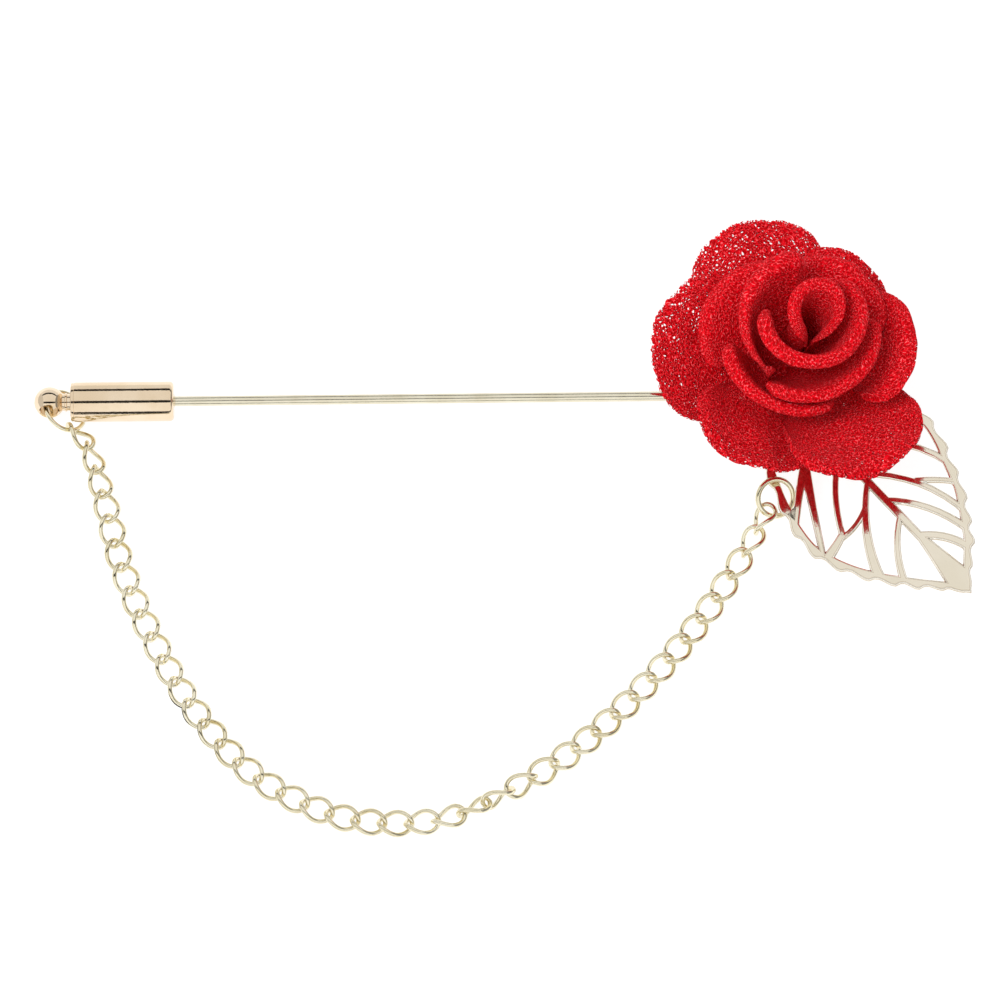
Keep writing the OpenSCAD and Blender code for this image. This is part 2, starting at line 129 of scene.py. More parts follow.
def stage_object(name, bm, material):
    """A part of the studio, which isn't a part of the pin."""
    obj = bpy.data.objects.new(name, mesh_from(name, bm))
    scene.collection.objects.link(obj)
    obj.data.materials.append(material)
    return obj


# The light tent is a half cylinder along the pin's shaft. Angles are from straight up, positive to the back.
# Columns: from, to, brightness. The narrow dark ones are the gaps between the tent's sheets.
TENT_R = 900.0
TENT_L = 4000.0
TENT_FACET = 3
TENT = [
    (-93, -80, 0.02),
    (-80, -27, 1.10),
    (-27, -13, 0.03),
    (-13, 46, 0.96),
    (46, 60, 0.03),
    (60, 91, 0.92),
]
# The tent's darker ends: distance along the shaft, height, and the brightness of each
TENT_END_X = 900.0
TENT_END_Z = 900.0
TENT_ENDS = {-1: 0.72, 1: 0.30}
# A dark card on the floor in front of the clutch, seen only in polished metal: painted shade that stands in
# for the floor's shade in the clutch's reflection. From and to along the shaft, from and to across it
SHADE_CARD = (-82, -60, -900, -31)
SHADE_CARD_Z = 0.05
SHADE_CARD_BRIGHTNESS = 0.02
# The floor glows almost white by itself and takes faint shadows
FLOOR_HALF = 3000.0
FLOOR_GREY = (0.25, 0.25, 0.25)
FLOOR_GLOW = 0.86
SKY = 0.85
LAMP_D = 250
LAMP_WATTS = 1.6
LAMP_PLACE = (-180, -60, 480)
LAMP_AIM = (0, 0, 8)


def tent_sheet(name, bm, brightness):
    """A sheet that only polished metal sees."""
    sheet = stage_object(name, bm, plain_material(name, (0, 0, 0), (brightness,) * 3, 1.0))
    sheet.visible_camera = False
    sheet.visible_diffuse = False
    sheet.visible_shadow = False
    sheet.visible_transmission = False


def flat_sheet(name, corners, brightness):
    bm = bmesh.new()
    bm.faces.new([bm.verts.new(Vector(corner) * MM) for corner in corners])
    tent_sheet(name, bm, brightness)


def add_tent():
    for number, (start, stop, brightness) in enumerate(TENT):
        bm = bmesh.new()
        up, side = direction(start)
        low = [bm.verts.new(Vector((x * TENT_L / 2, side * TENT_R, up * TENT_R)) * MM) for x in (-1, 1)]
        edge = bm.edges.new(low)
        bmesh.ops.spin(bm, geom=[edge], cent=(0, 0, 0), axis=(1, 0, 0), dvec=(0, 0, 0),
                       angle=math.radians(start - stop), steps=max(1, round((stop - start) / TENT_FACET)))
        tent_sheet("tent_%d" % number, bm, brightness)
    for side, brightness in TENT_ENDS.items():
        x = side * TENT_END_X
        corners = [(x, -TENT_R, 0), (x, TENT_R, 0), (x, TENT_R, TENT_END_Z), (x, -TENT_R, TENT_END_Z)]
        flat_sheet("tent_end_%d" % side, corners, brightness)
    # The card is painted shade: a dark sheet seen only in the metal's reflections
    x0, x1, y0, y1 = SHADE_CARD
    corners = [plate + Vector((x, y, SHADE_CARD_Z)) for x, y in ((x0, y0), (x1, y0), (x1, y1), (x0, y1))]
    flat_sheet("card", corners, SHADE_CARD_BRIGHTNESS)


def add_studio():
    world = bpy.data.worlds.new("soft_daylight")
    scene.world = world
    world.use_nodes = True
    background = world.node_tree.nodes["Background"]
    background.inputs["Color"].default_value = (1.0, 1.0, 1.0, 1)
    background.inputs["Strength"].default_value = SKY
    bm = bmesh.new()
    bmesh.ops.create_grid(bm, x_segments=2, y_segments=2, size=FLOOR_HALF * MM)
    stage_object("floor", bm, plain_material("floor", FLOOR_GREY, (1, 1, 1), FLOOR_GLOW))
    add_tent()
    key = bpy.data.lights.new("key", "AREA")
    key.shape = "DISK"
    key.size = LAMP_D * MM
    key.energy = LAMP_WATTS
    lamp = bpy.data.objects.new("key", key)
    scene.collection.objects.link(lamp)
    lamp.location = Vector(LAMP_PLACE) * MM
    lamp.rotation_euler = (placed(LAMP_AIM) - lamp.location).to_track_quat("-Z", "Y").to_euler()
    lamp.visible_glossy = False


# Materials

THREADS_PER_MM = 3.2
# The pinholes' number for each thread, their least size, how much more the widest has, and their soft edge,
# as shares of their cell
HOLES_PER_THREAD = 0.80
HOLE_LEAST = 0.06
HOLE_MORE = 0.26
HOLE_SOFT = 0.04
# The weave starts to fray where it is more open than this, and at this rate
FRAY_FROM = 1.15
FRAY_RATE = 0.7
FRAY_SOFT = 0.05
# Painted shade: the cloth is painted this darker red in the pits between the threads, blended with random
# fibre tone
RED_PIT_SHADE = (0.38, 0.0, 0.001)
RED_RAISED = (0.66, 0.0, 0.006)
# Painted highlight: glints painted into the cloth's colour on the raised threads
RED_GLINT = (1.0, 0.19, 0.21)
RED_SHEEN = (1.0, 0.35, 0.4)


def add(tree, kind, **settings):
    node = tree.nodes.new(kind)
    for key, value in settings.items():
        setattr(node, key, value)
    return node


def math_node(tree, operation, a, b=None, clamp=False):
    node = add(tree, "ShaderNodeMath", operation=operation, use_clamp=clamp)
    for socket, value in zip(node.inputs, (a, b)):
        if value is None:
            continue
        if isinstance(value, (int, float)):
            socket.default_value = value
        else:
            tree.links.new(value, socket)
    return node.outputs[0]


def between(tree, value, low, high):
    node = add(tree, "ShaderNodeMapRange", interpolation_type="SMOOTHSTEP")
    for socket, part in (("Value", value), ("From Min", low), ("From Max", high)):
        if isinstance(part, (int, float)):
            node.inputs[socket].default_value = part
        else:
            tree.links.new(part, node.inputs[socket])
    return node.outputs["Result"]


def new_group(name, takes, gives):
    tree = bpy.data.node_groups.new(name, "ShaderNodeTree")
    for label, kind, value in takes:
        socket = tree.interface.new_socket(label, in_out="INPUT", socket_type=kind)
        if value is not None:
            socket.default_value = value
    for label, kind in gives:
        tree.interface.new_socket(label, in_out="OUTPUT", socket_type=kind)
    return tree, add(tree, "NodeGroupInput"), add(tree, "NodeGroupOutput")


def crepe_group():
    """Crepe threads: raised where they run, open between them, with a painted highlight where they glint. The
    vector is in millimetres of cloth.
    """
    tree, take, give = new_group(
        "crepe_threads",
        [("Cloth", "NodeSocketVector", None), ("Threads per mm", "NodeSocketFloat", 2.0),
         ("Open", "NodeSocketFloat", 0.0)],
        [("Height", "NodeSocketFloat"), ("Cover", "NodeSocketFloat"), ("Glint", "NodeSocketFloat")])
    link = tree.links.new
    wander = add(tree, "ShaderNodeTexNoise")
    wander.inputs["Scale"].default_value = 0.9
    wander.inputs["Detail"].default_value = 1.0
    link(take.outputs["Cloth"], wander.inputs["Vector"])
    shift = add(tree, "ShaderNodeVectorMath", operation="MULTIPLY_ADD")
    shift.inputs[1].default_value = (0.9, 0.9, 0)
    link(wander.outputs["Color"], shift.inputs[0])
    link(take.outputs["Cloth"], shift.inputs[2])
    slant = add(tree, "ShaderNodeMapping")
    slant.inputs["Rotation"].default_value = (0, 0, math.radians(32))
    slant.inputs["Scale"].default_value = (0.9, 1.2, 1)
    link(shift.outputs[0], slant.inputs["Vector"])
    # Threads: rounded between fine dark gaps
    cells = add(tree, "ShaderNodeTexVoronoi", feature="F1", voronoi_dimensions="2D")
    cells.inputs["Randomness"].default_value = 0.85
    link(slant.outputs[0], cells.inputs["Vector"])
    link(take.outputs["Threads per mm"], cells.inputs["Scale"])
    far = cells.outputs["Distance"]
    # Pinholes of the open weave, one in each wider cell
    holes = add(tree, "ShaderNodeTexVoronoi", feature="F1", voronoi_dimensions="2D")
    holes.inputs["Randomness"].default_value = 0.7
    link(slant.outputs[0], holes.inputs["Vector"])
    holes_per_mm = math_node(tree, "MULTIPLY", take.outputs["Threads per mm"], HOLES_PER_THREAD)
    link(holes_per_mm, holes.inputs["Scale"])
    parts = add(tree, "ShaderNodeSeparateColor")
    link(holes.outputs["Color"], parts.inputs["Color"])
    size = math_node(tree, "MULTIPLY_ADD", parts.outputs["Red"], HOLE_MORE)
    size.node.inputs[2].default_value = HOLE_LEAST
    size = math_node(tree, "MULTIPLY", size, take.outputs["Open"])
    closed = between(tree, holes.outputs["Distance"], math_node(tree, "SUBTRACT", size, HOLE_SOFT), size)
    # Loose ends where the edge frays
    over = math_node(tree, "SUBTRACT", take.outputs["Open"], FRAY_FROM)
    fray = math_node(tree, "MULTIPLY", over, FRAY_RATE)
    whole = between(tree, far, math_node(tree, "SUBTRACT", fray, FRAY_SOFT), fray)
    link(math_node(tree, "MULTIPLY", closed, whole), give.inputs["Cover"])
    fibre = add(tree, "ShaderNodeTexNoise")
    fibre.inputs["Scale"].default_value = 7.5
    fibre.inputs["Detail"].default_value = 2.0
    link(shift.outputs[0], fibre.inputs["Vector"])
    thread = between(tree, far, 0.10, 0.60)
    height = math_node(tree, "ADD", thread, math_node(tree, "MULTIPLY", fibre.outputs["Fac"], 0.7))
    link(height, give.inputs["Height"])
    # Where the threads get a painted highlight
    shine = math_node(tree, "MULTIPLY", between(tree, fibre.outputs["Fac"], 0.52, 0.68), thread)
    link(shine, give.inputs["Glint"])
    return tree


def red_crepe(name, weave):
    material = bpy.data.materials.new(name)
    material.use_nodes = True
    tree = material.node_tree
    link = tree.links.new
    shader = tree.nodes["Principled BSDF"]
    cloth = add(tree, "ShaderNodeUVMap", uv_map="cloth")
    scale = add(tree, "ShaderNodeVectorMath", operation="SCALE")
    scale.inputs["Scale"].default_value = CLOTH_UV
    link(cloth.outputs["UV"], scale.inputs[0])
    open_weave = add(tree, "ShaderNodeAttribute", attribute_name="open_weave")
    threads = add(tree, "ShaderNodeGroup", node_tree=weave)
    threads.inputs["Threads per mm"].default_value = THREADS_PER_MM
    link(scale.outputs[0], threads.inputs["Cloth"])
    link(open_weave.outputs["Fac"], threads.inputs["Open"])
    # Painted shade: darker where the threads sink, partly random fibre tone
    body = add(tree, "ShaderNodeMix", data_type="RGBA")
    body.inputs["A"].default_value = (*RED_PIT_SHADE, 1)
    body.inputs["B"].default_value = (*RED_RAISED, 1)
    link(between(tree, threads.outputs["Height"], 0.25, 1.15), body.inputs["Factor"])
    # Painted highlight: the glint colour mixed into the cloth's base colour
    lit = add(tree, "ShaderNodeMix", data_type="RGBA")
    lit.inputs["B"].default_value = (*RED_GLINT, 1)
    link(math_node(tree, "MULTIPLY", threads.outputs["Glint"], 0.85), lit.inputs["Factor"])
    link(body.outputs["Result"], lit.inputs["A"])
    link(lit.outputs["Result"], shader.inputs["Base Color"])
    link(threads.outputs["Cover"], shader.inputs["Alpha"])
    bump = add(tree, "ShaderNodeBump")
    bump.inputs["Strength"].default_value = 0.8
    bump.inputs["Distance"].default_value = 0.00012
    link(threads.outputs["Height"], bump.inputs["Height"])
    link(bump.outputs["Normal"], shader.inputs["Normal"])
    shader.inputs["Roughness"].default_value = 0.72
    shader.inputs["Specular IOR Level"].default_value = 0.03
    shader.inputs["Sheen Weight"].default_value = 0.02
    shader.inputs["Sheen Roughness"].default_value = 0.45
    shader.inputs["Sheen Tint"].default_value = (*RED_SHEEN, 1)
    return material


def plating_group():
    """Light plate on polished brass: cloudy wear and fine buffing marks."""
    tree, take, give = new_group(
        "plating",
        [("Place", "NodeSocketVector", None), ("Cloud size", "NodeSocketFloat", 300.0),
         ("Mark size", "NodeSocketFloat", 4000.0)],
        [("Cloud", "NodeSocketFloat"), ("Marks", "NodeSocketFloat")])
    link = tree.links.new
    cloud = add(tree, "ShaderNodeTexNoise")
    cloud.inputs["Detail"].default_value = 3.0
    link(take.outputs["Place"], cloud.inputs["Vector"])
    link(take.outputs["Cloud size"], cloud.inputs["Scale"])
    link(between(tree, cloud.outputs["Fac"], 0.3, 0.7), give.inputs["Cloud"])
    marks = add(tree, "ShaderNodeTexNoise")
    marks.inputs["Detail"].default_value = 2.0
    link(take.outputs["Place"], marks.inputs["Vector"])
    link(take.outputs["Mark size"], marks.inputs["Scale"])
    link(marks.outputs["Fac"], give.inputs["Marks"])
    return tree


def polished(name, pale, deep, plating, roughness, ripple, cloud_size=300.0):
    material = bpy.data.materials.new(name)
    material.use_nodes = True
    tree = material.node_tree
    link = tree.links.new
    shader = tree.nodes["Principled BSDF"]
    shader.inputs["Metallic"].default_value = 1.0
    place = add(tree, "ShaderNodeTexCoord")
    plate_look = add(tree, "ShaderNodeGroup", node_tree=plating)
    plate_look.inputs["Cloud size"].default_value = cloud_size
    link(place.outputs["Object"], plate_look.inputs["Place"])
    tone = add(tree, "ShaderNodeMix", data_type="RGBA")
    tone.inputs["A"].default_value = (*pale, 1)
    tone.inputs["B"].default_value = (*deep, 1)
    link(plate_look.outputs["Cloud"], tone.inputs["Factor"])
    link(tone.outputs["Result"], shader.inputs["Base Color"])
    rough = add(tree, "ShaderNodeMapRange")
    rough.inputs["To Min"].default_value = roughness * 0.7
    rough.inputs["To Max"].default_value = roughness * 1.5
    link(plate_look.outputs["Marks"], rough.inputs["Value"])
    link(rough.outputs["Result"], shader.inputs["Roughness"])
    bump = add(tree, "ShaderNodeBump")
    bump.inputs["Strength"].default_value = ripple
    bump.inputs["Distance"].default_value = 0.00001
    link(plate_look.outputs["Marks"], bump.inputs["Height"])
    link(bump.outputs["Normal"], shader.inputs["Normal"])
    return material


# Making pieces

def finished(name, bm, material, sharp=None, more=()):
    """A piece of the pin. Edges sharper than sharp degrees stay crisp, and more holds its other materials."""
    mesh = mesh_from(name, bm)
    mesh.shade_smooth()
    if sharp is not None:
        mesh.set_sharp_from_angle(angle=math.radians(sharp))
    for part in (material, *more):
        mesh.materials.append(part)
    obj = bpy.data.objects.new(name, mesh)
    scene.collection.objects.link(obj)
    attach(obj, "root")
    return obj


def turned_profile(bm, profile, steps=96):
    """Spins (x, radius) points about the shaft's line."""
    points = [bm.verts.new(placed((x, 0, shaft_z + radius))) for x, radius in profile]
    edges = [bm.edges.new(pair) for pair in zip(points, points[1:])]
    centre = placed((0, 0, shaft_z))
    bmesh.ops.spin(bm, geom=points + edges, cent=centre, axis=(1, 0, 0), dvec=(0, 0, 0),
                   angle=2 * math.pi, steps=steps, use_merge=True)
    bmesh.ops.remove_doubles(bm, verts=bm.verts, dist=MERGE * MM)
    bmesh.ops.recalc_face_normals(bm, faces=bm.faces)


def round_corner(middle, radius, start, stop, steps=5):
    """Points of a small arc in a turned profile."""
    points = []
    for i in range(steps + 1):
        cosine, sine = direction(mix(start, stop, i / steps))
        points.append((middle[0] + radius * cosine, middle[1] + radius * sine))
    return points


# Stick pin

# The shaft: free from the plate's middle to the clutch, inside the clutch, and past the plate's middle
SHAFT_FREE = 60.9
SHAFT_IN = 7.0
SHAFT_OVER = 3.7
# How deep the shaft sits in the plate
SOLDER = 0.15
PLATE_TOP = shaft_z - SHAFT_D / 2 + SOLDER
PLATE_WALL = 0.6
PLATE_BEND = 0.8


def add_stick_pin(material):
    r = SHAFT_D / 2
    bm = bmesh.new()
    turned_profile(bm, [(-SHAFT_FREE - SHAFT_IN, 0), (-SHAFT_FREE - SHAFT_IN, r / 4),
                        (-SHAFT_FREE - SHAFT_IN / 2, r), (0, r), (SHAFT_OVER, r), (SHAFT_OVER, 0)], steps=48)
    rim = PLATE_D / 2
    outline = [
        (0, PLATE_TOP), (rim - PLATE_BEND, PLATE_TOP), (rim, PLATE_TOP - PLATE_BEND), (rim, 0),
        (rim - PLATE_WALL, 0), (rim - PLATE_WALL, PLATE_TOP - PLATE_BEND - PLATE_WALL / 2),
        (rim - PLATE_BEND - PLATE_WALL / 2, PLATE_TOP - PLATE_WALL), (0, PLATE_TOP - PLATE_WALL)]
    points = [bm.verts.new(placed((radius, 0, z))) for radius, z in outline]
    edges = [bm.edges.new(pair) for pair in zip(points, points[1:])]
    bmesh.ops.spin(bm, geom=points + edges, cent=placed((0, 0, 0)), axis=(0, 0, 1), dvec=(0, 0, 0),
                   angle=2 * math.pi, steps=64, use_merge=True)
    bmesh.ops.remove_doubles(bm, verts=bm.verts, dist=MERGE * MM)
    bmesh.ops.recalc_face_normals(bm, faces=bm.faces)
    obj = finished("pin_and_plate", bm, material, sharp=30)
    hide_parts("stick_pin")


# Clutch

BARREL_D = 4.0
BARREL_L = 10.3
NECK_L = 1.0
NECK_D = 1.7
BALL_D = 3.1
BALL_SINK = 0.4
HOLE_D = 1.8
HOLE_ROLL = 20
HOLE_FLARE = 0.28
# The flare's middle from the ball's, as a share of its radius and of the flare
FLARE_SEAT = (0.84, 0.2)
MOUTH_X = -SHAFT_FREE
BARREL_END_X = MOUTH_X - BARREL_L
BALL_X = BARREL_END_X - NECK_L - BALL_D / 2 + BALL_SINK
BORE_R = SHAFT_D / 2 + 0.1
BORE_EDGE = 0.1
BORE_SPARE = 0.2
MOUTH_ROUND = 0.42
MOUTH_EDGE = 0.05
# The barrel's closed end is a collar, a little slimmer than the barrel, with a small round edge
COLLAR = (0.32, 0.36)
COLLAR_IN = 0.05
COLLAR_ROUND = 0.12
# A bead round the neck: its middle from the barrel's end, half its foot, half its top and its height
BEAD_X = 0.5
BEAD_FOOT = 0.12
BEAD_TOP = 0.08
BEAD_H = 0.08
CLUTCH_SHARP = 28


def cross_hole_drill():
    """The ball's cross hole as a solid, with both its mouths flared."""
    hole = HOLE_D / 2
    drill = bmesh.new()
    bmesh.ops.create_cone(drill, cap_ends=True, segments=64, radius1=hole * MM, radius2=hole * MM,
                          depth=2 * BALL_D * MM)
    for side in (-1, 1):
        made = bmesh.ops.create_cone(drill, cap_ends=True, segments=64, radius1=hole * MM,
                                     radius2=(hole + 2 * HOLE_FLARE) * MM, depth=2 * HOLE_FLARE * MM)
        seat = BALL_D / 2 * FLARE_SEAT[0] + HOLE_FLARE * FLARE_SEAT[1]
        lift = Matrix.Translation((0, 0, side * seat * MM))
        flip = turned(0 if side > 0 else 180, "X")
        bmesh.ops.transform(drill, matrix=lift @ flip, verts=made["verts"])
    turn = turned(90 - HOLE_ROLL, "X")
    place = Matrix.Translation(placed((BALL_X, 0, shaft_z)))
    bmesh.ops.transform(drill, matrix=place @ turn, verts=drill.verts)
    return drill


def add_clutch(material):
    r = BARREL_D / 2
    ball = BALL_D / 2
    neck = NECK_D / 2
    collar_r = r - COLLAR_IN
    lip_x = MOUTH_X - MOUTH_ROUND
    lip_r = r - MOUTH_ROUND
    bead_x = BARREL_END_X - BEAD_X
    bore_end = MOUTH_X - SHAFT_IN - BORE_SPARE
    profile = round_corner((BALL_X, 0), ball, 180, math.degrees(math.asin(neck / ball)), steps=40)
    profile += [(bead_x - BEAD_FOOT, neck), (bead_x - BEAD_TOP, neck + BEAD_H),
                (bead_x + BEAD_TOP, neck + BEAD_H), (bead_x + BEAD_FOOT, neck), (BARREL_END_X, neck)]
    collar_corner = (BARREL_END_X + COLLAR_ROUND, collar_r - COLLAR_ROUND)
    profile += round_corner(collar_corner, COLLAR_ROUND, 180, 90, steps=4)
    profile += [(BARREL_END_X + COLLAR[0], collar_r), (BARREL_END_X + COLLAR[1], r)]
    profile += [(mix(BARREL_END_X + COLLAR[1], lip_x, i / 4), r) for i in range(1, 4)]
    profile += round_corner((lip_x, lip_r), MOUTH_ROUND, 90, 12, steps=8)
    profile += [(MOUTH_X, lip_r - MOUTH_EDGE), (MOUTH_X, BORE_R + BORE_EDGE), (MOUTH_X - BORE_EDGE, BORE_R),
                (bore_end, BORE_R), (bore_end, 0)]
    bm = bmesh.new()
    turned_profile(bm, profile)
    obj = finished("clutch", bm, material, sharp=CLUTCH_SHARP)
    cutter = bpy.data.objects.new("drill", mesh_from("drill", cross_hole_drill()))
    scene.collection.objects.link(cutter)
    cut = obj.modifiers.new("cross hole", "BOOLEAN")
    cut.object = cutter
    cut.operation = "DIFFERENCE"
    cut.use_self = True
    cut.solver = "EXACT"
    view = bpy.context.evaluated_depsgraph_get()
    holed = bpy.data.meshes.new_from_object(obj.evaluated_get(view))
    obj.modifiers.remove(cut)
    obj.data = holed
    bpy.data.objects.remove(cutter)
    holed.shade_smooth()
    holed.set_sharp_from_angle(angle=math.radians(CLUTCH_SHARP))
    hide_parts("clutch_barrel")


# Rings

CLUTCH_RING_D = 4.4
CLUTCH_RING_WIRE = 0.45
# From the ball's middle to the ring's, as shares of the ring's radius
CLUTCH_RING_STEP = Vector((0.66, -0.23, -0.50))
CLUTCH_RING_TILT = 35
CLUTCH_RING_TURN = 20
LEAF_RING_D = 3.7
LEAF_RING_WIRE = 0.55
LEAF_RING_TILT = 35


def wire_ring(name, ring_d, wire_d, turn, material, node):
    """A ring of wire, made flat about the origin and moved by turn, in millimetres."""
    bm = bmesh.new()
    made = bmesh.ops.create_circle(bm, segments=20, radius=wire_d / 2)
    stand = Matrix.Translation((ring_d / 2, 0, 0)) @ turned(90, "X")
    bmesh.ops.transform(bm, matrix=stand, verts=made["verts"])
    bmesh.ops.spin(bm, geom=bm.verts[:] + bm.edges[:], cent=(0, 0, 0), axis=(0, 0, 1), dvec=(0, 0, 0),
                   angle=2 * math.pi, steps=96, use_merge=True)
    bmesh.ops.remove_doubles(bm, verts=bm.verts, dist=MERGE)
    bmesh.ops.recalc_face_normals(bm, faces=bm.faces)
    for vert in bm.verts:
        vert.co = placed(turn @ vert.co)
    obj = finished(name, bm, material)
    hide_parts(node)


def on_ring(turn, ring_d, degrees):
    """A point of a ring's wire, where the chain hangs."""
    cosine, sine = direction(degrees)
    return turn @ Vector((ring_d / 2 * cosine, ring_d / 2 * sine, 0))


# Leaf

LEAF_TURN = -50.5
LEAF_RISE = 5
# Edges that turn by more degrees than this are the leaf's cut edges, and are rounded
EDGE_ANGLE = 60
EDGE_ROUND = 0.16
# Width of a thin line of painted shade along the flat faces' edges
EDGE_SHADE_LINE = 0.05
# Painted shade: the rounded edge is painted dark where its outward direction points up by less than this
EDGE_SHADE_FACING = 0.4


def add_leaf(material, edges, edge_shade):
    """The leaf's own sheet: its cut edges are rounded, with a painted highlight where they face up, painted
    shade where they face down, and a thin line of painted shade along them.
    """
    bm = bmesh.new()
    bm.from_mesh(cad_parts["leaf"].data)
    bmesh.ops.remove_doubles(bm, verts=bm.verts, dist=2 * MERGE * MM)
    bmesh.ops.dissolve_limit(bm, angle_limit=math.radians(1), verts=bm.verts, edges=bm.edges)
    least = math.radians(EDGE_ANGLE)
    rims = [edge for edge in bm.edges if edge.is_manifold and edge.calc_face_angle() > least]
    bmesh.ops.bevel(bm, geom=rims, affect="EDGES", offset=EDGE_ROUND * MM, segments=3, profile=0.5,
                    material=1)
    # Painted shade on the rounded edges that face down; those that face up keep the painted highlight
    for face in bm.faces:
        if face.material_index == 1 and face.normal.z < EDGE_SHADE_FACING:
            face.material_index = 2
    # A thin line of painted shade along the flat top's edges
    flat = [face for face in bm.faces if face.material_index == 0 and face.normal.z > 0.9]
    line = bmesh.ops.inset_region(bm, faces=flat, thickness=EDGE_SHADE_LINE * MM, use_even_offset=True)
    for face in line["faces"]:
        face.material_index = 2
    bmesh.ops.triangulate(bm, faces=[face for face in bm.faces if len(face.verts) > 4])
    obj = finished("pierced_leaf", bm, material, sharp=50, more=(edges, edge_shade))
    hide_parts("leaf")


# Rose

ROSE_R = 15.6
ROSE_H = 13.5
PETAL_WALL = 1.0
PETAL_SEAT = 1.5 * PETAL_WALL + 0.1
LEAN_X = 0.22
LEAN_Y = 0.10
ROSE_MIDDLE = Vector((0, 1.95, shaft_z + SHAFT_D / 2 + PETAL_SEAT))
# Length of a curve's handles, as a share of the distance between its ends
HANDLE = 0.38
# Width of a petal at its root, as a share, and where it widens, as shares of the height
ROOT_WIDTH = 0.62
ROOT_NARROW = 0.06
ROOT_WIDENS = 0.22
# Roots above this share of the height run on level to this radius, lower ones down to the shaft at the next
INNER_ROOT = 0.1
ROOT_IN = 0.3
OUTER_ROOT_IN = 1.2
ROOT_DROP = 1.2
# The sides' tuck and lift, and the dents, grow in from the root over these shares of the height
TUCK_GROWS = 0.1
DENT_GROWS = 0.3
# Coarse and fine dents: how many to a millimetre, and the fine ones' depth as a share
DENT_COARSE = 0.28
DENT_FINE = 0.9
DENT_FINE_DEPTH = 0.35
# Rims rolled by more degrees than this end past the petal's reach, others on it
FULL_ROLL = 100
# A rolled rim tapers to this share of its width at the petal's ends, over this share of the half width
RIM_END = 0.4
RIM_TAPER = 0.15
# Petals with a wider half angle than this keep their width down to the root
WRAP_HALF = 100
CLOTH = 0.26
# Millimetres of cloth in one unit of the petals' UV map
CLOTH_UV = 50.0
# The frayed border's width, and how much it opens the weave
FRAY_W = 0.55
FRAY_OPENS = 0.8
# The weave is open up to half of OPEN_W from the rim, and closes from there to OPEN_START times OPEN_W
OPEN_W = 5.5
OPEN_START = 1.5
# Rows below this share of a petal's length have no free sides
FREE_SIDES = 0.3

Petal = namedtuple("Petal", "azimuth half root_r root_z root_slope reach rise rim_slope shoulder "
                            "tuck tilt squareness wave waves lift")
Rim = namedtuple("Rim", "roll length uneven open_weave dent")

# The construction's rows, with a few petals turned, widened or seated a little closer. Angles are degrees.
# Lengths are shares: of the rose's radius for root_r and reach, of its height for root_z, rise, tilt and
# wave, of the petal's wall for tuck and lift, and of the petal's own length for shoulder.
PETALS = {
    # azimuth, half, root_r, root_z, root_slope, reach, rise, rim_slope, shoulder, tuck, tilt, squareness,
    # wave, waves, lift
    "petal_top":         (102,  42, 0.19,  0.00,  9, 1.00, 0.11,  6, 0.42,  0.3,  0.02, 2.3, 0.03, 2.5, -1.2),
    "petal_left":        (171,  47, 0.19, -0.01,  7, 0.89, 0.22, 16, 0.42, -1.1,  0.01, 2.3, 0.03, 2.0,  0.0),
    "petal_upper_right": ( 54,  32, 0.19,  0.00, 10, 0.86, 0.15, 12, 0.42,  0.9, -0.05, 2.5, 0.02, 2.0,  0.0),
    "petal_lower_left":  (244,  42, 0.19,  0.00, 19, 0.86, 0.37, 26, 0.42, -1.0,  0.00, 2.3, 0.03, 2.5,  0.0),
    "petal_lower_right": (304,  40, 0.19,  0.00, 22, 1.02, 0.48, 24, 0.42, -0.9, -0.06, 2.3, 0.03, 2.5,  0.0),
    "petal_right":       (  1,  40, 0.18,  0.08, 39, 0.71, 0.55, 60, 0.60, -0.5, -0.01, 2.6, 0.00, 2.0,  0.0),
    "petal_mid_left":    (146,  49, 0.17,  0.13, 24, 0.65, 0.43, 15, 0.60, -0.5,  0.00, 2.6, 0.02, 2.0,  0.0),
    "petal_fold_front":  (242,  56, 0.19,  0.17, 25, 0.49, 0.52, 50, 0.80, -0.1, -0.05, 3.5, 0.00, 2.0,  0.0),
    "petal_mid_right":   ( 47,  44, 0.14,  0.18, 42, 0.62, 0.53, 45, 0.65,  0.3, -0.02, 2.6, 0.02, 2.0,  0.0),
    "petal_fold_right":  (-57,  67, 0.12,  0.23, 30, 0.45, 0.64, 50, 0.82,  0.0,  0.02, 3.5, 0.00, 2.0,  0.0),
    "petal_wrap_outer":  (163,  70, 0.12,  0.21, 38, 0.42, 0.78, 55, 0.80, -0.6, -0.02, 3.0, 0.00, 2.0,  0.0),
    "petal_wrap_inner":  (-66, 126, 0.08,  0.31, 34, 0.31, 0.85, 60, 0.85, -0.1,  0.01, 3.0, 0.00, 2.0,  0.0),
    "bud":               ( 90, 172, 0.08,  0.36, 80, 0.15, 1.00, 85, 0.52,  0.0,  0.00, 2.0, 0.00, 2.0,  0.0),
}
